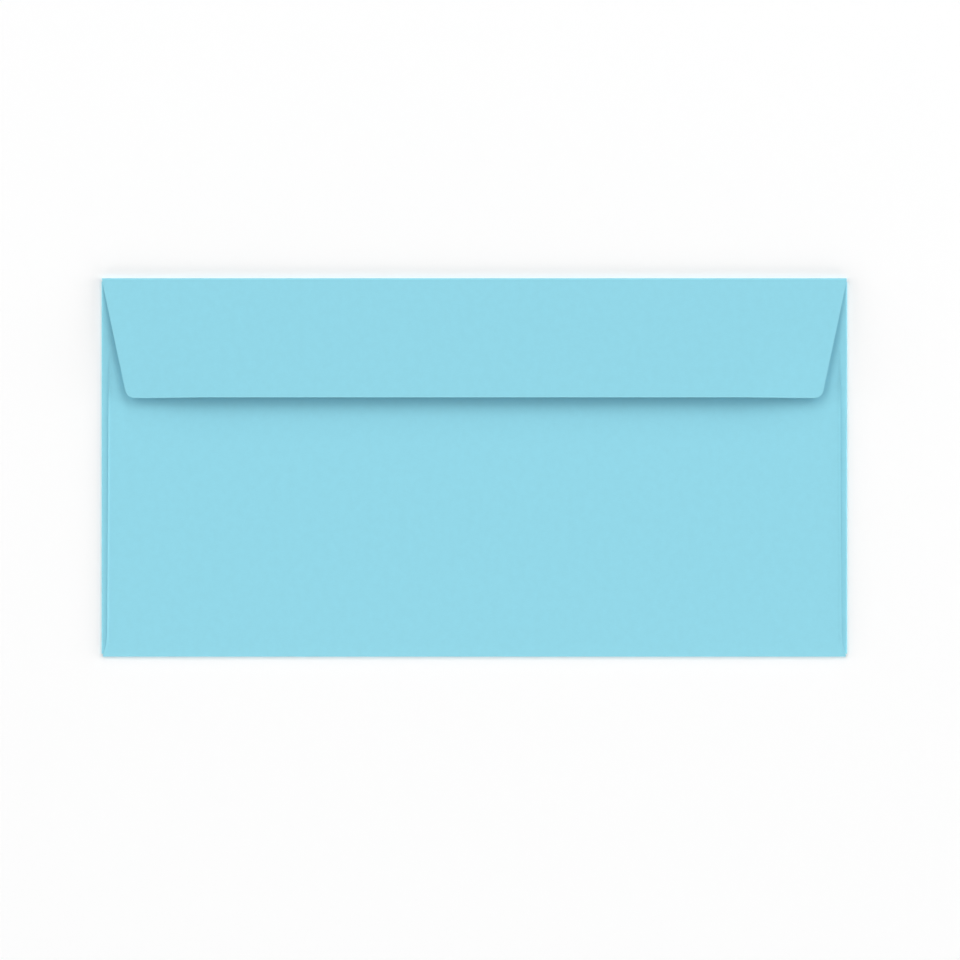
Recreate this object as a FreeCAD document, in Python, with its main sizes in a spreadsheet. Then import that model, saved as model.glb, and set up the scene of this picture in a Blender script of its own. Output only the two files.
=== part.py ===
"""A wallet envelope of coloured paper, closed but not sealed, lying on its address side.

One die-cut sheet is folded into it. The front panel lies on the table, the two side flaps are
turned in over it, and the back panel is turned up from the bottom edge and glued onto the side
flaps. The seal flap is turned down over the mouth of the pocket, and springs a little open.

Millimetres and degrees. +X runs along the bottom edge, +Y points at the fold of the seal flap
and +Z is up. The origin is the middle of the footprint, on the face that lies on the table.
"""

import FreeCAD, Part
import math
import os

import Sketcher
from FreeCAD import Placement, Rotation, Vector

NODE = "envelope"

# Each driving dimension: its alias in the sheet, its value, and what it measures.
SIZES = [
    ("envelope_width", 219.5, "left fold to right fold, outside"),
    ("envelope_height", 111.4, "bottom fold to top fold, outside"),
    ("paper_thickness", 0.15, "uncoated paper of 120 g per square metre"),
    ("pocket_gap", 0.6, "front panel to side flap, held open by the spring of the folds"),
    ("side_flap_width", 16.0, "side fold to the inner edge of the side flap"),
    ("side_flap_slant", 3.5, "how much each end of the side flap is set back at its inner edge"),
    ("side_flap_radius", 3.0, "inner corners of the side flap"),
    ("crease_relief", 0.3, "end of the side flap to the crease that runs across it"),
    ("bottom_inset", 0.4, "side fold to the end of the bottom fold"),
    ("flare_height", 4.0, "bottom fold to where the back panel's edge turns out to the corner"),
    ("flare_radius", 6.0, "the turn of the back panel's edge above the corner"),
    ("seam_margin_low", 1.6, "side fold to the back panel's edge, above the corner"),
    ("seam_margin_high", 2.1, "side fold to the back panel's edge, at the throat"),
    ("throat_depth", 18.5, "top fold to the back panel's top edge"),
    ("throat_radius", 3.0, "top corners of the back panel"),
    ("flap_depth", 35.15, "top fold to the free edge of the seal flap, seen from above"),
    ("flap_inset", 0.15, "side fold to the end of the top fold"),
    ("flap_slant_angle", 12.2, "side edge of the seal flap from square, in degrees"),
    ("flap_radius", 2.8, "corners of the seal flap"),
    ("flap_clearance", 0.1, "back panel to the seal flap, where the flap leaves its fold"),
    ("flap_lift_angle", 6.5, "how far the seal flap springs open, in degrees"),
]

# The underside of each layer, and the outside radius of the fold that leads up to it.
THICKNESS = "sizes.paper_thickness"
SIDE_FLAP_LEVEL = f"({THICKNESS} + sizes.pocket_gap)"
BACK_LEVEL = f"({SIDE_FLAP_LEVEL} + {THICKNESS})"
SEAL_LEVEL = f"({BACK_LEVEL} + {THICKNESS} + sizes.flap_clearance)"
SIDE_RADIUS = f"(({SIDE_FLAP_LEVEL} + {THICKNESS}) / 2)"
BOTTOM_RADIUS = f"(({BACK_LEVEL} + {THICKNESS}) / 2)"
TOP_RADIUS = f"(({SEAL_LEVEL} + {THICKNESS}) / 2)"

# The creases, where the flat front panel ends and its folds begin, measured from the middle.
HALF_WIDTH = "(sizes.envelope_width / 2)"
HALF_HEIGHT = "(sizes.envelope_height / 2)"
SIDE_CREASE = f"({HALF_WIDTH} - {SIDE_RADIUS})"
BOTTOM_CREASE = f"-({HALF_HEIGHT} - {BOTTOM_RADIUS})"
TOP_CREASE = f"({HALF_HEIGHT} - {TOP_RADIUS})"

# Half a turn brings the paper back over itself. The seal flap stops short of it by its lift.
FULL_FOLD = "(pi * 1 rad)"
SEAL_FOLD = f"({FULL_FOLD} - sizes.flap_lift_angle * 1 deg)"
TABLE = "0"
ON_PLANE = "0"
SHARP = None
SIZE_TOLERANCE = 0.001


def make_sheet(doc):
    """The spreadsheet of driving dimensions, one to a row."""
    sheet = doc.addObject("Spreadsheet::Sheet", "sizes")
    for row, (alias, value, meaning) in enumerate(SIZES, start=1):
        sheet.set(f"A{row}", meaning)
        sheet.set(f"B{row}", str(value))
        sheet.setAlias(f"B{row}", alias)
    doc.recompute()


def value_of(owner, expression):
    """The number that an expression over the sheet stands for."""
    result = owner.evalExpression(expression)
    return float(getattr(result, "Value", result))


def origin_plane(body, role):
    """One of the body's own origin planes."""
    return next(plane for plane in body.Origin.OriginFeatures if plane.Role == role)


def add_sketch(body, name, role, offset):
    """A sketch parallel to one of the body's origin planes, moved along its normal."""
    sketch = body.newObject("Sketcher::SketchObject", name)
    sketch.AttachmentSupport = (origin_plane(body, role), "")
    sketch.MapMode = "FlatFace"
    sketch.setExpression("AttachmentOffset.Base.z", offset)
    return sketch


def bind(sketch, constraint, expression):
    """Adds a constraint whose size follows an expression over the sheet."""
    index = sketch.addConstraint(constraint)
    sketch.setExpression(f"Constraints[{index}]", expression)


def pin(sketch, geometry, end, x, y):
    """Holds one point at x and y from the sketch's origin, both given as expressions."""
    for direction, expression in (("DistanceX", x), ("DistanceY", y)):
        value = value_of(sketch, expression)
        points = (-1, 1, geometry, end)
        if value < 0:
            points = (geometry, end, -1, 1)
            expression = f"-({expression})"
        bind(sketch, Sketcher.Constraint(direction, *points, abs(value)), expression)


def corner_arc(before, corner, after, radius):
    """Start, middle and end of the arc that rounds a corner, and whether it turns left."""
    into = (corner - before).normalize()
    out = (after - corner).normalize()
    half_turn = into.getAngle(out) / 2
    reach = radius * math.tan(half_turn)
    inward = (out - into).normalize()
    centre = corner + inward * (radius / math.cos(half_turn))
    turns_left = into.cross(out).z > 0
    return corner - into * reach, centre - inward * radius, corner + out * reach, turns_left


def draw_outline(sketch, corners):
    """A closed outline. Each corner is its x, its y and its radius, in expressions."""
    points = [Vector(value_of(sketch, x), value_of(sketch, y), 0) for x, y, radius in corners]
    arrivals = list(points)
    departures = list(points)
    arcs = {}
    for index, (x, y, radius) in enumerate(corners):
        if radius is not SHARP:
            following = points[(index + 1) % len(points)]
            size = value_of(sketch, radius)
            start, middle, end, turns_left = corner_arc(points[index - 1], points[index], following, size)
            ends = (start, end) if turns_left else (end, start)
            arc = sketch.addGeometry(Part.Arc(ends[0], middle, ends[1]), False)
            arcs[index] = (arc, 1, 2) if turns_left else (arc, 2, 1)
            arrivals[index] = start
            departures[index] = end

    lines = []
    for index, departure in enumerate(departures):
        arrival = arrivals[(index + 1) % len(points)]
        lines.append(sketch.addGeometry(Part.LineSegment(departure, arrival), False))

    for index, (x, y, radius) in enumerate(corners):
        line_in = lines[index - 1]
        line_out = lines[index]
        if radius is SHARP:
            sketch.addConstraint(Sketcher.Constraint("Coincident", line_in, 2, line_out, 1))
            pin(sketch, line_out, 1, x, y)
        else:
            arc, arc_start, arc_end = arcs[index]
            sketch.addConstraint(Sketcher.Constraint("Tangent", line_in, 2, arc, arc_start))
            sketch.addConstraint(Sketcher.Constraint("Tangent", arc, arc_end, line_out, 1))
            bind(sketch, Sketcher.Constraint("Radius", arc, value_of(sketch, radius)), radius)
            corner = sketch.addGeometry(Part.Point(points[index]), True)
            sketch.addConstraint(Sketcher.Constraint("PointOnObject", corner, 1, line_in))
            sketch.addConstraint(Sketcher.Constraint("PointOnObject", corner, 1, line_out))
            pin(sketch, corner, 1, x, y)


def add_paper(body, name, sketch):
    """Gives a drawn panel the thickness of the paper, upwards."""
    panel = body.newObject("PartDesign::Pad", name)
    panel.Profile = sketch
    panel.setExpression("Length", THICKNESS)
    return panel


def add_fold(body, name, role, crease, ends, radius, turn, turns_back):
    """Turns the paper over at a crease, about an axis that lies one radius above the table."""
    low, high = ends
    section = add_sketch(body, f"{name}_section", role, crease)
    draw_outline(section, [
        (low, ON_PLANE, SHARP),
        (high, ON_PLANE, SHARP),
        (high, THICKNESS, SHARP),
        (low, THICKNESS, SHARP),
    ])
    height = value_of(section, radius)
    axis_start = Vector(value_of(section, low), height, 0)
    axis_end = Vector(value_of(section, high), height, 0)
    axis = section.addGeometry(Part.LineSegment(axis_start, axis_end), True)
    pin(section, axis, 1, low, radius)
    pin(section, axis, 2, high, radius)
    fold = body.newObject("PartDesign::Revolution", name)
    fold.Profile = section
    fold.ReferenceAxis = (section, ["Axis0"])
    fold.Reversed = turns_back
    fold.setExpression("Angle", turn)
    return fold


def add_front_panel(body):
    """The panel that the address goes on, flat on the table between the four creases."""
    sketch = add_sketch(body, "front_panel_outline", "XY_Plane", TABLE)
    draw_outline(sketch, [
        (f"-{SIDE_CREASE}", BOTTOM_CREASE, SHARP),
        (SIDE_CREASE, BOTTOM_CREASE, SHARP),
        (SIDE_CREASE, TOP_CREASE, SHARP),
        (f"-{SIDE_CREASE}", TOP_CREASE, SHARP),
    ])
    add_paper(body, "front_panel", sketch)


def add_side_flaps(body):
    """The two side flaps, turned in over the front panel. The left one mirrors the right one."""
    low_end = f"({BOTTOM_CREASE} + sizes.crease_relief)"
    high_end = f"({TOP_CREASE} - sizes.crease_relief)"
    inner_edge = f"({HALF_WIDTH} - sizes.side_flap_width)"
    fold = add_fold(
        body, "side_fold", "YZ_Plane", SIDE_CREASE, (low_end, high_end), SIDE_RADIUS, FULL_FOLD, True
    )
    sketch = add_sketch(body, "side_flap_outline", "XY_Plane", SIDE_FLAP_LEVEL)
    draw_outline(sketch, [
        (inner_edge, f"{low_end} + sizes.side_flap_slant", "sizes.side_flap_radius"),
        (SIDE_CREASE, low_end, SHARP),
        (SIDE_CREASE, high_end, SHARP),
        (inner_edge, f"{high_end} - sizes.side_flap_slant", "sizes.side_flap_radius"),
    ])
    flap = add_paper(body, "side_flap", sketch)
    mirrored = body.newObject("PartDesign::Mirrored", "left_side_flap")
    mirrored.Originals = [fold, flap]
    mirrored.MirrorPlane = (origin_plane(body, "YZ_Plane"), [""])
    body.Tip = mirrored


def add_back_panel(body):
    """The back panel, turned up at the bottom fold and lying glued on the two side flaps.

    Its edges lean in towards the throat, and turn out to the corners just above the fold.
    """
    fold_end = f"({HALF_WIDTH} - sizes.bottom_inset)"
    turn_x = f"({HALF_WIDTH} - sizes.seam_margin_low)"
    turn_y = f"-({HALF_HEIGHT} - sizes.flare_height)"
    throat_x = f"({HALF_WIDTH} - sizes.seam_margin_high)"
    throat_y = f"({HALF_HEIGHT} - sizes.throat_depth)"
    crease = f"-{BOTTOM_CREASE}"
    ends = (f"-{fold_end}", fold_end)
    add_fold(body, "bottom_fold", "XZ_Plane", crease, ends, BOTTOM_RADIUS, FULL_FOLD, True)
    sketch = add_sketch(body, "back_panel_outline", "XY_Plane", BACK_LEVEL)
    draw_outline(sketch, [
        (f"-{fold_end}", BOTTOM_CREASE, SHARP),
        (fold_end, BOTTOM_CREASE, SHARP),
        (turn_x, turn_y, "sizes.flare_radius"),
        (throat_x, throat_y, "sizes.throat_radius"),
        (f"-{throat_x}", throat_y, "sizes.throat_radius"),
        (f"-{turn_x}", turn_y, "sizes.flare_radius"),
    ])
    add_paper(body, "back_panel", sketch)


def add_seal_flap(body):
    """The seal flap, turned down at the top fold over the throat.

    It is drawn in its own plane, which starts on the inside of the fold and climbs from there
    to the free edge.
    """
    fold_end = f"({HALF_WIDTH} - sizes.flap_inset)"
    crease = f"-{TOP_CREASE}"
    ends = (f"-{fold_end}", fold_end)
    add_fold(body, "top_fold", "XZ_Plane", crease, ends, TOP_RADIUS, SEAL_FOLD, False)

    lift = "(sizes.flap_lift_angle * 1 deg)"
    inside_radius = f"({TOP_RADIUS} - {THICKNESS})"
    start_y = f"({TOP_CREASE} + {inside_radius} * sin({lift}))"
    start_z = f"({TOP_RADIUS} + {inside_radius} * cos({lift}))"
    length = f"(({start_y} - {HALF_HEIGHT} + sizes.flap_depth) / cos({lift}))"
    edge_end = f"({fold_end} - {length} * tan(sizes.flap_slant_angle * 1 deg))"

    sketch = add_sketch(body, "seal_flap_outline", "XY_Plane", start_z)
    sketch.AttachmentOffset = Placement(Vector(), Rotation(Vector(1, 0, 0), -value_of(sketch, lift)))
    sketch.setExpression("AttachmentOffset.Base.y", start_y)
    sketch.setExpression("AttachmentOffset.Rotation.Angle", f"-{lift}")
    draw_outline(sketch, [
        (f"-{edge_end}", f"-{length}", "sizes.flap_radius"),
        (edge_end, f"-{length}", "sizes.flap_radius"),
        (fold_end, ON_PLANE, SHARP),
        (f"-{fold_end}", ON_PLANE, SHARP),
    ])
    add_paper(body, "seal_flap", sketch)


def check_document(doc, body):
    """Stops the build unless every object is sound and every feature adds paper to one solid."""
    for item in doc.Objects:
        if "Invalid" in item.State or "Error" in item.State:
            raise RuntimeError(f"{item.Name} failed: {item.State}")
    volume = 0
    for feature in body.Group:
        if feature.isDerivedFrom("PartDesign::Feature"):
            if feature.Shape.Volume <= volume:
                raise RuntimeError(f"{feature.Name} adds no paper")
            volume = feature.Shape.Volume
    shape = body.Shape
    if shape.isNull() or not shape.isValid() or len(shape.Solids) != 1:
        raise RuntimeError(f"{body.Label} isn't one valid solid")
    outside = {"envelope_width": shape.BoundBox.XLength, "envelope_height": shape.BoundBox.YLength}
    for alias, length in outside.items():
        if abs(length - value_of(body, f"sizes.{alias}")) > SIZE_TOLERANCE:
            raise RuntimeError(f"{alias} comes out as {length:.3f}, so a fold turns the wrong way")


def report_sizes(body):
    """Prints the outside size, the paper's volume and the area of the flat sheet."""
    box = body.Shape.BoundBox
    area = body.Shape.Volume / value_of(body, THICKNESS)
    print(f"x {box.XMin:.3f} to {box.XMax:.3f}, y {box.YMin:.3f} to {box.YMax:.3f}")
    print(f"z {box.ZMin:.3f} to {box.ZMax:.3f}, volume {body.Shape.Volume:.1f}, sheet area {area:.0f}")


def main():
    doc = FreeCAD.newDocument("wallet_envelope")
    make_sheet(doc)
    body = doc.addObject("PartDesign::Body", NODE)
    body.Label = NODE
    add_front_panel(body)
    add_side_flaps(body)
    add_back_panel(body)
    add_seal_flap(body)
    doc.recompute()
    check_document(doc, body)
    report_sizes(body)
    os.makedirs("parts", exist_ok=True)
    body.Shape.exportStep(f"parts/{body.Label}.step")


main()
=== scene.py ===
from math import cos, pi, radians, sin, sqrt, tan

import bmesh
import bpy
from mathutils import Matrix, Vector


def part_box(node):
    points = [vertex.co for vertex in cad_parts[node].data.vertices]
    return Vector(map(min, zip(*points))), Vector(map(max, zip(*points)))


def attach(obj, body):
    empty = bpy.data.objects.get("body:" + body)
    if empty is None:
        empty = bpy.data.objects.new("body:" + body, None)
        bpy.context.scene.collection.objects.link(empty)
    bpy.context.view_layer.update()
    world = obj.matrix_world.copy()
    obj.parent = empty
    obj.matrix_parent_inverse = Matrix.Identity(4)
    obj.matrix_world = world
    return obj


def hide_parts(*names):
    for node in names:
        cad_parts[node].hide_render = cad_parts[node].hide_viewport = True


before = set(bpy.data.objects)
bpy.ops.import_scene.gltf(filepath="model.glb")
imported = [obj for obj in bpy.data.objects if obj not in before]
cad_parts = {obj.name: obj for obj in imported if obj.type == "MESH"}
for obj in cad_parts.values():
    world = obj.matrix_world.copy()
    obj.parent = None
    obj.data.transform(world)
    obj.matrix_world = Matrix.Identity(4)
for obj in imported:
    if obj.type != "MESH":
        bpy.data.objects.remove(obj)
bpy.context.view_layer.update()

# The sheet is uncoated paper of 120 grams, die-cut flat with four flaps round the address panel:
# one on each side, the back panel below and the seal flap above. It is drawn here as it leaves
# the cutting die, face down, each flap growing row by row out of its crease.
MM = 0.001
THICKNESS = 0.15 * MM
POCKET_GAP = 0.6 * MM
FLAP_CLEARANCE = 0.1 * MM
SIDE_FLAP_WIDTH = 16.0 * MM
SIDE_FLAP_SLANT = 3.5 * MM
SIDE_FLAP_RADIUS = 3.0 * MM
BOTTOM_INSET = 0.4 * MM
FLARE_HEIGHT = 4.0 * MM
FLARE_SOFTNESS = 0.3 * MM
SEAM_MARGIN_LOW = 1.6 * MM
SEAM_MARGIN_HIGH = 2.1 * MM
SEAM_LIFT = 0.27 * MM
SEAM_LIFT_WIDTH = 0.7 * MM
SEAM_LIFT_FADE = 8.0 * MM
THROAT_DEPTH = 18.5 * MM
THROAT_RADIUS = 3.0 * MM
FLAP_DEPTH = 35.15 * MM
FLAP_INSET = 0.15 * MM
FLAP_SLANT = radians(12.2)
FLAP_RADIUS = 2.8 * MM
FLAP_LIFT = radians(6.5)
CORNER_CURL = 1.5 * MM
CORNER_CURL_WIDTH = 22.0 * MM

# Distances from a cut end to the first columns of the mesh, and the spacing further in.
END_COLUMNS = (0.1 * MM, 0.3 * MM, 0.4 * MM, 0.6 * MM, 1.2 * MM)
RELIEF_COLUMN = 2
GRID_STEP = 3.0 * MM
CREASE_ROWS = 10
CORNER_ROWS = 6
CUT_WIDTH = 0.3 * MM
SLACK_REACH = 30.0 * MM

ADDRESS_PANEL, RIGHT_FLAP, LEFT_FLAP, BACK_PANEL, SEAL_FLAP = range(5)

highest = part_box("envelope")[1]
half_width = highest[0]
half_height = highest[1]
side_bend = (THICKNESS + POCKET_GAP) / 2
bottom_bend = side_bend + THICKNESS / 2
top_bend = bottom_bend + (THICKNESS + FLAP_CLEARANCE) / 2
side_crease = half_width - side_bend - THICKNESS / 2
bottom_crease = half_height - bottom_bend - THICKNESS / 2
top_crease = half_height - top_bend - THICKNESS / 2


def evenly_spaced(start, end, step):
    """Positions from start to end, both included, about one step apart."""
    count = max(1, round((end - start) / step))
    return [start + (end - start) * index / count for index in range(count + 1)]


def grid_positions(start, end):
    """Positions along a panel: close together at both ends and evenly spaced between them."""
    first = [start, *(start + inset for inset in END_COLUMNS)]
    last = [*(end - inset for inset in reversed(END_COLUMNS)), end]
    return first[:-1] + evenly_spaced(first[-1], last[0], GRID_STEP) + last[1:]


def flap_rows(bend_length, length, corner_radius):
    """Distances of a flap's rows from its crease, finer in the bend and at the rounded corners."""
    bend = [bend_length * row / CREASE_ROWS for row in range(1, CREASE_ROWS)]
    flat = evenly_spaced(bend_length, bend_length + length - corner_radius, GRID_STEP)
    angles = [pi / 2 * row / CORNER_ROWS for row in range(1, CORNER_ROWS + 1)]
    corner = [bend_length + length - corner_radius * (1 - sin(angle)) for angle in angles]
    return bend + flat + corner


def straight_half(distance, length, half_start, slope, corner_radius):
    """Half the length of a row, on a flap with leaning straight sides and rounded corners."""
    lean = sqrt(1 + slope * slope)
    centre = length - corner_radius
    half_centre = half_start - centre * slope - corner_radius * lean
    if distance <= centre + corner_radius * slope / lean:
        return half_start - distance * slope
    return half_centre + sqrt(max(0, corner_radius ** 2 - (distance - centre) ** 2))


def smooth_step(value):
    """Goes from 0 to 1 as value does, level at both ends."""
    value = min(max(value, 0), 1)
    return value * value * (3 - 2 * value)


sheet = bmesh.new()
panel_layer = sheet.verts.layers.int.new("panel")
cut_layer = sheet.verts.layers.float.new("cut_edge")
slack_layer = sheet.verts.layers.float.new("slack")
uv_layer = sheet.loops.layers.uv.new("sheet")


def grow_flap(crease_verts, outward, panel, bend_length, length, corner_radius, half_at):
    """Adds one flap beyond a row of the address panel's own vertices."""
    along = Vector((abs(outward.y), abs(outward.x), 0))
    crease = crease_verts[0].co.dot(outward)
    ends = crease_verts[0].co.dot(along), crease_verts[-1].co.dot(along)
    middle = (ends[0] + ends[1]) / 2
    half_crease = abs(ends[1] - ends[0]) / 2
    before = crease_verts
    for distance in flap_rows(bend_length, length, corner_radius):
        half = half_at(max(distance - bend_length, 0))
        row = []
        for crease_vert in crease_verts:
            offset = (crease_vert.co.dot(along) - middle) * half / half_crease
            vert = sheet.verts.new(along * (middle + offset) + outward * (crease + distance))
            from_side = half - abs(offset)
            from_edge = min(from_side, bend_length + length - distance)
            vert[panel_layer] = panel
            vert[cut_layer] = max(0, 1 - from_edge / CUT_WIDTH)
            if panel in (BACK_PANEL, SEAL_FLAP):
                vert[slack_layer] = smooth_step(distance / SLACK_REACH)
            if panel == BACK_PANEL:
                vert[slack_layer] *= smooth_step((from_side - SIDE_FLAP_WIDTH) / SLACK_REACH)
                # The cut edge stands off the side flap along the seam, less so near the throat.
                below_throat = bend_length + length - distance - corner_radius
                lift = smooth_step(1 - from_side / SEAM_LIFT_WIDTH)
                lift *= smooth_step((distance - bend_length) / SEAM_LIFT_WIDTH)
                lift *= smooth_step(below_throat / SEAM_LIFT_FADE)
                vert.co.z = -SEAM_LIFT * lift
            if panel == SEAL_FLAP:
                # Both corners of the free edge curl down.
                near_side = smooth_step(1 - from_side / CORNER_CURL_WIDTH)
                near_end = smooth_step(1 - (bend_length + length - distance) / CORNER_CURL_WIDTH)
                vert.co.z = CORNER_CURL * near_side * near_end
            row.append(vert)
        for index in range(len(row) - 1):
            sheet.faces.new((before[index], before[index + 1], row[index + 1], row[index]))
        before = row


columns = grid_positions(-side_crease, side_crease)
rows = grid_positions(-bottom_crease, top_crease)
address = [[sheet.verts.new((x, y, 0)) for x in columns] for y in rows]
for lower, upper in zip(address, address[1:]):
    for index in range(len(columns) - 1):
        sheet.faces.new((lower[index], lower[index + 1], upper[index + 1], upper[index]))

side_length = side_crease - (half_width - SIDE_FLAP_WIDTH)
side_slope = SIDE_FLAP_SLANT / side_length
side_rows = address[RELIEF_COLUMN:-RELIEF_COLUMN]
side_half = (side_rows[-1][0].co.y - side_rows[0][0].co.y) / 2
for panel, column, outward in ((RIGHT_FLAP, -1, Vector((1, 0, 0))), (LEFT_FLAP, 0, Vector((-1, 0, 0)))):
    grow_flap(
        [row[column] for row in side_rows], outward, panel, pi * side_bend, side_length, SIDE_FLAP_RADIUS,
        lambda distance: straight_half(distance, side_length, side_half, side_slope, SIDE_FLAP_RADIUS),
    )

throat = half_height - THROAT_DEPTH
back_length = bottom_crease + throat
turn_distance = FLARE_HEIGHT - (half_height - bottom_crease)
seam_slope = (SEAM_MARGIN_HIGH - SEAM_MARGIN_LOW) / (back_length - turn_distance)
seam_half = half_width - SEAM_MARGIN_LOW + seam_slope * turn_distance
flare_half = half_width - BOTTOM_INSET
flare_slope = (SEAM_MARGIN_LOW - BOTTOM_INSET) / turn_distance


def back_half(distance):
    """Half the width of the back panel, whose edges turn out to the corners above the fold."""
    seam = straight_half(distance, back_length, seam_half, seam_slope, THROAT_RADIUS)
    flare = flare_half - flare_slope * distance
    return (seam + flare + sqrt((seam - flare) ** 2 + FLARE_SOFTNESS ** 2)) / 2


grow_flap(
    address[0], Vector((0, -1, 0)), BACK_PANEL, pi * bottom_bend, back_length, THROAT_RADIUS, back_half
)

# The seal flap leaves its fold a little open, so its bend is shorter than half a turn.
seal_fold = pi - FLAP_LIFT
inner_bend = top_bend - THICKNESS / 2
seal_start = top_crease + inner_bend * sin(FLAP_LIFT)
seal_length = (seal_start - half_height + FLAP_DEPTH) / cos(FLAP_LIFT)
seal_half = half_width - FLAP_INSET
grow_flap(
    address[-1], Vector((0, 1, 0)), SEAL_FLAP, seal_fold * top_bend, seal_length, FLAP_RADIUS,
    lambda distance: straight_half(distance, seal_length, seal_half, tan(FLAP_SLANT), FLAP_RADIUS),
)

for face in sheet.faces:
    face.normal_update()
    if face.normal.z < 0:
        face.normal_flip()
    face.smooth = True
    for loop in face.loops:
        loop[uv_layer].uv = loop.vert.co.xy
flat_mesh = bpy.data.meshes.new("flat_sheet")
sheet.to_mesh(flat_mesh)
sheet.free()


# The paper is dyed right through, so a cut edge shows the same blue, only a little paler where
# the knife leaves loose fibres. Its felt side is matt, with short fibres lying mostly along the
# machine's direction and a faint cloudiness from the way they settled on the wire.
def linear(hex_colour):
    """An sRGB hex colour as the linear values that a shader takes."""
    channels = [int(hex_colour[start:start + 2], 16) / 255 for start in (1, 3, 5)]
    return [c / 12.92 if c <= 0.04045 else ((c + 0.055) / 1.055) ** 2.4 for c in channels] + [1]


def add_node(tree, kind, inputs, **settings):
    """Adds a node and returns its outputs. An input is given a value or the socket that feeds it."""
    node = tree.nodes.new(kind)
    for name, value in settings.items():
        setattr(node, name, value)
    for name, value in inputs.items():
        if isinstance(value, bpy.types.NodeSocket):
            tree.links.new(value, node.inputs[name])
        else:
            node.inputs[name].default_value = value
    return node.outputs


# The colour sockets of a Mix node share their names with its other sockets, so they go by number.
MIX_FIRST = 6
MIX_SECOND = 7
MIX_RESULT = 2

PAPER_BLUE = "#92D8E9"
CUT_FIBRE_BLUE = "#A6DEEA"
CLOUD_SIZE_MM = 2.5
CLOUD_DETAIL = 3
CLOUD_ROUGHNESS = 0.6
CLOUD_DEPTH = 0.02
FIBRE_LENGTH_MM = 1.4
FIBRE_WIDTH_MM = 0.12
FIBRE_DETAIL = 2
FIBRE_WANDER = 0.6
FIBRE_RELIEF_MM = 0.012
FIBRE_RELIEF_SHARE = 0.5
MOTTLE_LOW = 0.6
MOTTLE_HIGH = 1.4
PAPER_ROUGHNESS = 0.9
PAPER_SHEEN_LEVEL = 0.2
CUT_EDGE_SHARE = 0.3


def paper_material(name, base_hex, edge_share):
    """Uncoated dyed paper. edge_share is how much of the paler fibre shows along a cut edge."""
    material = bpy.data.materials.new(name)
    material.use_nodes = True
    tree = material.node_tree
    shader = tree.nodes["Principled BSDF"]
    shader.inputs["Roughness"].default_value = PAPER_ROUGHNESS
    shader.inputs["Specular IOR Level"].default_value = PAPER_SHEEN_LEVEL
    place = add_node(tree, "ShaderNodeUVMap", {}, uv_map="sheet")["UV"]
    in_mm = add_node(tree, "ShaderNodeVectorMath", {0: place, "Scale": 1 / MM}, operation="SCALE")["Vector"]
    clouds = add_node(tree, "ShaderNodeTexNoise", {
        "Vector": in_mm, "Scale": 1 / CLOUD_SIZE_MM, "Detail": CLOUD_DETAIL, "Roughness": CLOUD_ROUGHNESS,
    }, noise_dimensions="2D")["Fac"]
    stretched = add_node(tree, "ShaderNodeVectorMath", {
        0: in_mm, 1: (1 / FIBRE_LENGTH_MM, 1 / FIBRE_WIDTH_MM, 1),
    }, operation="MULTIPLY")["Vector"]
    fibres = add_node(tree, "ShaderNodeTexNoise", {
        "Vector": stretched, "Scale": 1, "Detail": FIBRE_DETAIL, "Distortion": FIBRE_WANDER,
    }, noise_dimensions="2D")["Fac"]
    mottle = add_node(tree, "ShaderNodeMath", {0: clouds, 1: fibres}, operation="ADD")["Value"]
    tone = add_node(tree, "ShaderNodeMapRange", {
        "Value": mottle, "From Min": MOTTLE_LOW, "From Max": MOTTLE_HIGH,
        "To Min": 1 - CLOUD_DEPTH, "To Max": 1 + CLOUD_DEPTH,
    })["Result"]
    edge = add_node(tree, "ShaderNodeAttribute", {}, attribute_name="cut_edge")["Fac"]
    fringe = add_node(tree, "ShaderNodeMath", {0: edge, 1: edge_share}, operation="MULTIPLY")["Value"]
    colour = add_node(tree, "ShaderNodeMix", {
        "Factor": fringe, MIX_FIRST: linear(base_hex), MIX_SECOND: linear(CUT_FIBRE_BLUE),
    }, data_type="RGBA")[MIX_RESULT]
    shade = add_node(tree, "ShaderNodeVectorMath", {0: colour, "Scale": tone}, operation="SCALE")["Vector"]
    tree.links.new(shade, shader.inputs["Base Color"])
    bump = add_node(tree, "ShaderNodeBump", {
        "Height": fibres, "Strength": FIBRE_RELIEF_SHARE, "Distance": FIBRE_RELIEF_MM * MM,
    })["Normal"]
    tree.links.new(bump, shader.inputs["Normal"])
    return material


dyed_paper = paper_material("uncoated dyed paper", PAPER_BLUE, CUT_EDGE_SHARE)
cut_edge = paper_material("knife cut paper edge", CUT_FIBRE_BLUE, 0)


# The flaps are folded on a plough folder, over creases pressed into the sheet: first both sides,
# then the back panel onto the gummed side flaps, then the seal flap. The back panel bows up a
# little where nothing is glued. The seal flap springs open, with its two corners curled down.
CROWN = 0.12 * MM
WAVE_HEIGHT = 0.12 * MM
WAVE_LENGTH = 70 * MM
WAVE_DETAIL = 1
WAVE_SEED = 4.0
NOISE_MIDDLE = 0.5
SHARP_EDGE = radians(40)


def add_input(tree, name, kind):
    """A named input of a node tree."""
    return tree.interface.new_socket(name, in_out="INPUT", socket_type=f"NodeSocket{kind}")


def calculate(tree, operation, first, second=0.0, third=0.0):
    """One step of arithmetic in a node tree."""
    inputs = {0: first, 1: second, 2: third}
    return add_node(tree, "ShaderNodeMath", inputs, operation=operation)["Value"]


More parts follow.
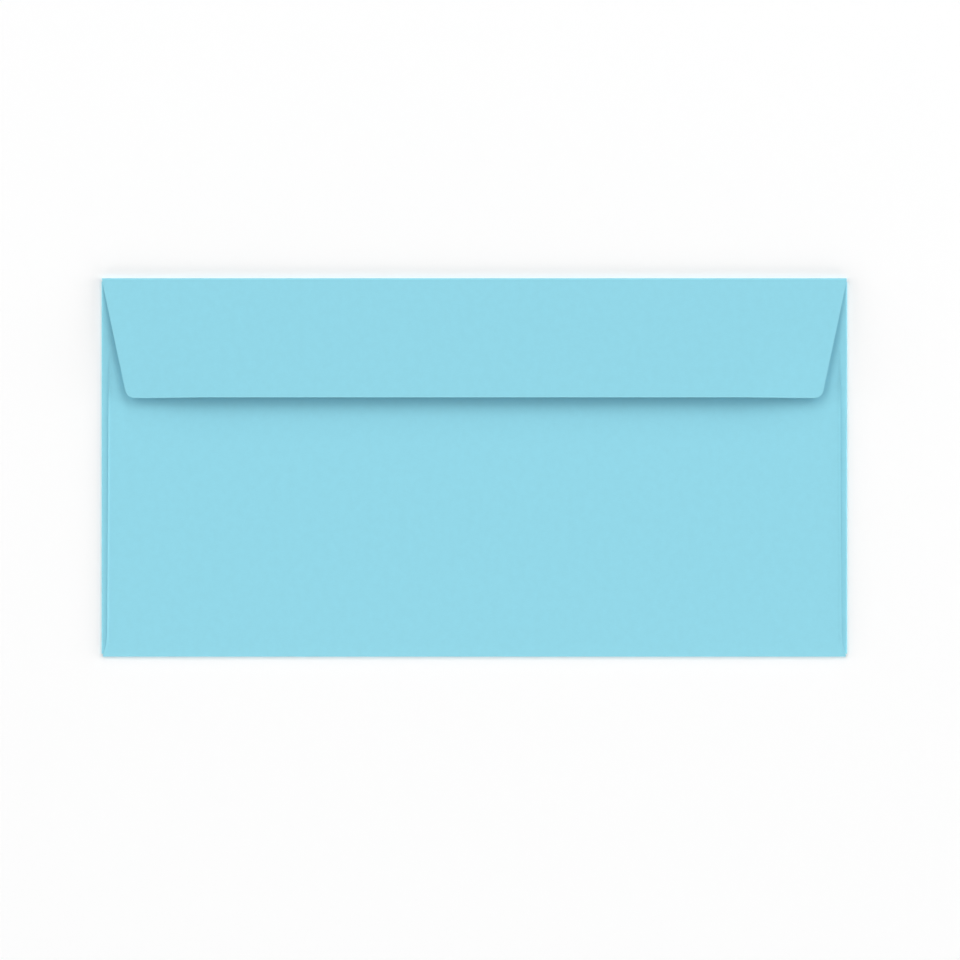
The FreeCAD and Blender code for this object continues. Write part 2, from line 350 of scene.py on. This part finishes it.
fold = bpy.data.node_groups.new("Fold one flap", "GeometryNodeTree")
for name, kind in (
    ("Sheet", "Geometry"), ("Panel", "Int"), ("Outward", "Vector"),
    ("Crease Distance", "Float"), ("Bend Radius", "Float"), ("Fold Angle", "Float"),
):
    add_input(fold, name, kind)
fold.interface.new_socket("Sheet", in_out="OUTPUT", socket_type="NodeSocketGeometry")
given = add_node(fold, "NodeGroupInput", {})
place = add_node(fold, "GeometryNodeInputPosition", {})["Position"]
height = add_node(fold, "ShaderNodeSeparateXYZ", {"Vector": place})["Z"]
reach = add_node(fold, "ShaderNodeVectorMath", {
    0: place, 1: given["Outward"],
}, operation="DOT_PRODUCT")["Value"]
outward_part = add_node(fold, "ShaderNodeVectorMath", {
    0: given["Outward"], "Scale": reach,
}, operation="SCALE")["Vector"]
rest_part = add_node(fold, "ShaderNodeVectorMath", {
    0: place, 1: outward_part,
}, operation="SUBTRACT")["Vector"]
along_part = add_node(fold, "ShaderNodeVectorMath", {
    0: rest_part, 1: (1, 1, 0),
}, operation="MULTIPLY")["Vector"]
beyond = calculate(fold, "SUBTRACT", reach, given["Crease Distance"])
turn = calculate(fold, "DIVIDE", beyond, given["Bend Radius"])
turn = calculate(fold, "MINIMUM", turn, given["Fold Angle"])
turn_sine = calculate(fold, "SINE", turn)
turn_cosine = calculate(fold, "COSINE", turn)
bend_length = calculate(fold, "MULTIPLY", given["Bend Radius"], given["Fold Angle"])
straight = calculate(fold, "SUBTRACT", beyond, bend_length)
straight = calculate(fold, "MAXIMUM", straight, 0.0)
arm = calculate(fold, "SUBTRACT", given["Bend Radius"], height)
out_distance = calculate(fold, "MULTIPLY_ADD", straight, turn_cosine, given["Crease Distance"])
out_distance = calculate(fold, "MULTIPLY_ADD", arm, turn_sine, out_distance)
rise = calculate(fold, "MULTIPLY", arm, turn_cosine)
rise = calculate(fold, "SUBTRACT", given["Bend Radius"], rise)
rise = calculate(fold, "MULTIPLY_ADD", straight, turn_sine, rise)
folded_out = add_node(fold, "ShaderNodeVectorMath", {
    0: given["Outward"], "Scale": out_distance,
}, operation="SCALE")["Vector"]
folded_up = add_node(fold, "ShaderNodeCombineXYZ", {"Z": rise})["Vector"]
folded = add_node(fold, "ShaderNodeVectorMath", {0: folded_out, 1: folded_up}, operation="ADD")["Vector"]
folded = add_node(fold, "ShaderNodeVectorMath", {0: folded, 1: along_part}, operation="ADD")["Vector"]
panel_number = add_node(fold, "GeometryNodeInputNamedAttribute", {
    "Name": "panel",
}, data_type="INT")["Attribute"]
on_panel = add_node(fold, "FunctionNodeCompare", {
    2: panel_number, 3: given["Panel"],
}, data_type="INT", operation="EQUAL")["Result"]
moved = add_node(fold, "GeometryNodeSetPosition", {
    "Geometry": given["Sheet"], "Selection": on_panel, "Position": folded,
})["Geometry"]
add_node(fold, "NodeGroupOutput", {"Sheet": moved})

envelope = bpy.data.node_groups.new("Fold the envelope", "GeometryNodeTree")
SETTINGS = (
    ("Side Crease", side_crease),
    ("Bottom Crease", bottom_crease),
    ("Top Crease", top_crease),
    ("Side Bend", side_bend),
    ("Bottom Bend", bottom_bend),
    ("Top Bend", top_bend),
    ("Seal Fold", seal_fold),
    ("Crown", CROWN),
    ("Wave Height", WAVE_HEIGHT),
    ("Wave Length", WAVE_LENGTH),
    ("Wave Seed", WAVE_SEED),
    ("Thickness", THICKNESS),
)
add_input(envelope, "Sheet", "Geometry")
setting_sockets = {name: add_input(envelope, name, "Float") for name, value in SETTINGS}
paper_socket = add_input(envelope, "Paper", "Material")
envelope.interface.new_socket("Envelope", in_out="OUTPUT", socket_type="NodeSocketGeometry")
given = add_node(envelope, "NodeGroupInput", {})
place = add_node(envelope, "GeometryNodeInputPosition", {})["Position"]
slack = add_node(envelope, "GeometryNodeInputNamedAttribute", {
    "Name": "slack",
}, data_type="FLOAT")["Attribute"]
wave_scale = calculate(envelope, "DIVIDE", 1.0, given["Wave Length"])
waves = add_node(envelope, "ShaderNodeTexNoise", {
    "Vector": place, "W": given["Wave Seed"], "Scale": wave_scale, "Detail": WAVE_DETAIL,
}, noise_dimensions="4D")["Fac"]
waves = calculate(envelope, "SUBTRACT", waves, NOISE_MIDDLE)
bow = calculate(envelope, "MULTIPLY", waves, given["Wave Height"])
bow = calculate(envelope, "SUBTRACT", bow, given["Crown"])
bow = calculate(envelope, "MULTIPLY", bow, slack)
bow = add_node(envelope, "ShaderNodeCombineXYZ", {"Z": bow})["Vector"]
paper = add_node(envelope, "GeometryNodeSetPosition", {
    "Geometry": given["Sheet"], "Offset": bow,
})["Geometry"]
for panel, outward, crease_name, bend_name, fold_angle in (
    (RIGHT_FLAP, (1, 0, 0), "Side Crease", "Side Bend", pi),
    (LEFT_FLAP, (-1, 0, 0), "Side Crease", "Side Bend", pi),
    (BACK_PANEL, (0, -1, 0), "Bottom Crease", "Bottom Bend", pi),
    (SEAL_FLAP, (0, 1, 0), "Top Crease", "Top Bend", given["Seal Fold"]),
):
    paper = add_node(envelope, "GeometryNodeGroup", {
        "Sheet": paper, "Panel": panel, "Outward": outward, "Crease Distance": given[crease_name],
        "Bend Radius": given[bend_name], "Fold Angle": fold_angle,
    }, node_tree=fold)["Sheet"]
half_thickness = calculate(envelope, "DIVIDE", given["Thickness"], 2.0)
onto_table = add_node(envelope, "ShaderNodeCombineXYZ", {"Z": half_thickness})["Vector"]
paper = add_node(envelope, "GeometryNodeSetPosition", {
    "Geometry": paper, "Offset": onto_table,
})["Geometry"]
paper = add_node(envelope, "GeometryNodeRealizeInstances", {"Geometry": paper})["Geometry"]
paper = add_node(envelope, "GeometryNodeSetMaterial", {
    "Geometry": paper, "Material": given["Paper"],
})["Geometry"]
add_node(envelope, "NodeGroupOutput", {"Envelope": paper})

blank = bpy.data.objects.new("flat_sheet", flat_mesh)
bpy.context.collection.objects.link(blank)
flat_mesh.materials.append(dyed_paper)
flat_mesh.materials.append(cut_edge)
folding = blank.modifiers.new("Fold the envelope", "NODES")
folding.node_group = envelope
for name, value in SETTINGS:
    folding[setting_sockets[name].identifier] = value
folding[paper_socket.identifier] = dyed_paper
body = blank.modifiers.new("Paper thickness", "SOLIDIFY")
body.thickness = THICKNESS
body.offset = 0
body.use_even_offset = True
body.material_offset_rim = 1

bpy.context.view_layer.update()
depsgraph = bpy.context.evaluated_depsgraph_get()
folded_mesh = bpy.data.meshes.new_from_object(blank.evaluated_get(depsgraph), depsgraph=depsgraph)
folded_mesh.name = "folded_sheet"
folded_mesh.set_sharp_from_angle(angle=SHARP_EDGE)
folded_sheet = bpy.data.objects.new("folded_sheet", folded_mesh)
bpy.context.collection.objects.link(folded_sheet)
bpy.data.objects.remove(blank)
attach(folded_sheet, "root")
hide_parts("envelope")


# The table is a plain white board with a matt coat. It takes the soft contact shadow.
FLOOR_WHITE = "#FFFFFF"
FLOOR_HALF = 4.0
floor_mesh = bpy.data.meshes.new("white_board")
floor_corners = [(-FLOOR_HALF, -FLOOR_HALF, 0), (FLOOR_HALF, -FLOOR_HALF, 0),
                 (FLOOR_HALF, FLOOR_HALF, 0), (-FLOOR_HALF, FLOOR_HALF, 0)]
floor_mesh.from_pydata(floor_corners, [], [(0, 1, 2, 3)])
floor = bpy.data.objects.new("white_board", floor_mesh)
bpy.context.collection.objects.link(floor)
board = bpy.data.materials.new("matt white board")
board.use_nodes = True
board_shader = board.node_tree.nodes["Principled BSDF"]
board_shader.inputs["Base Color"].default_value = linear(FLOOR_WHITE)
board_shader.inputs["Roughness"].default_value = 1.0
board_shader.inputs["Specular IOR Level"].default_value = 0.0
floor_mesh.materials.append(board)

# Soft light from a white tent with nine large windows in it, most of it from the far side and
# the two ends. Together they light a level surface so that a colour renders as it is written.
# What a camera, a gloss or a glass sees of the tent is plain white.
TENT_LEVEL = 0.1
WINDOW_DISTANCE = 8.0
WINDOWS = (
    # name, degrees round from the far side, degrees down from overhead, size in metres,
    # share of the light on a level surface
    ("far window", 0, 60, 4.0, 0.123),
    ("far left window", -45, 47, 4.0, 0.166),
    ("far right window", 45, 47, 4.0, 0.194),
    ("high left window", -90, 35, 4.0, 0.093),
    ("high right window", 90, 35, 4.0, 0.081),
    ("low left window", -90, 76, 3.5, 0.076),
    ("low right window", 90, 76, 3.5, 0.104),
    ("near left window", -150, 80, 2.6, 0.057),
    ("near right window", 150, 80, 2.6, 0.062),
)
world = bpy.data.worlds.new("white tent")
bpy.context.scene.world = world
world.use_nodes = True
background = world.node_tree.nodes["Background"]
background.inputs["Color"].default_value = (1, 1, 1, 1)
ray = add_node(world.node_tree, "ShaderNodeLightPath", {})
seen = calculate(world.node_tree, "MAXIMUM", ray["Is Camera Ray"], ray["Is Glossy Ray"])
seen = calculate(world.node_tree, "MAXIMUM", seen, ray["Is Transmission Ray"])
tent_light = add_node(world.node_tree, "ShaderNodeMapRange", {
    "Value": seen, "To Min": TENT_LEVEL, "To Max": 1,
})["Result"]
world.node_tree.links.new(tent_light, background.inputs["Strength"])
for name, round_angle, down_angle, size, share in WINDOWS:
    away = radians(round_angle)
    down = radians(down_angle)
    window = bpy.data.lights.new(name, "AREA")
    window.size = size
    window.energy = share * (pi * WINDOW_DISTANCE) ** 2 / cos(down)
    holder = bpy.data.objects.new(name, window)
    direction = Vector((sin(away) * sin(down), cos(away) * sin(down), cos(down)))
    holder.location = direction * WINDOW_DISTANCE
    holder.rotation_euler = (-direction).to_track_quat("-Z", "Y").to_euler()
    bpy.context.collection.objects.link(holder)

# The camera looks straight down from high above, and the envelope lies a little left of and
# above the middle of its picture, which is 960 pixels wide and high.
PICTURE_SIZE = 960
ENVELOPE_PIXELS = 745.2
CENTRE_PIXELS = (474.4, 467.4)
CAMERA_HEIGHT = 1.6
CAMERA_REACH = 20
camera = bpy.data.cameras.new("camera")
camera_object = bpy.data.objects.new("camera", camera)
bpy.context.collection.objects.link(camera_object)
pixel = 2 * half_width / ENVELOPE_PIXELS
to_the_right = (PICTURE_SIZE / 2 - CENTRE_PIXELS[0]) * pixel
to_the_top = (CENTRE_PIXELS[1] - PICTURE_SIZE / 2) * pixel
camera_object.location = (to_the_right, to_the_top, CAMERA_HEIGHT)
camera.lens = camera.sensor_width * CAMERA_HEIGHT / (PICTURE_SIZE * pixel)
camera.clip_end = CAMERA_REACH
bpy.context.scene.camera = camera_object
bpy.context.scene.view_settings.view_transform = "Standard"
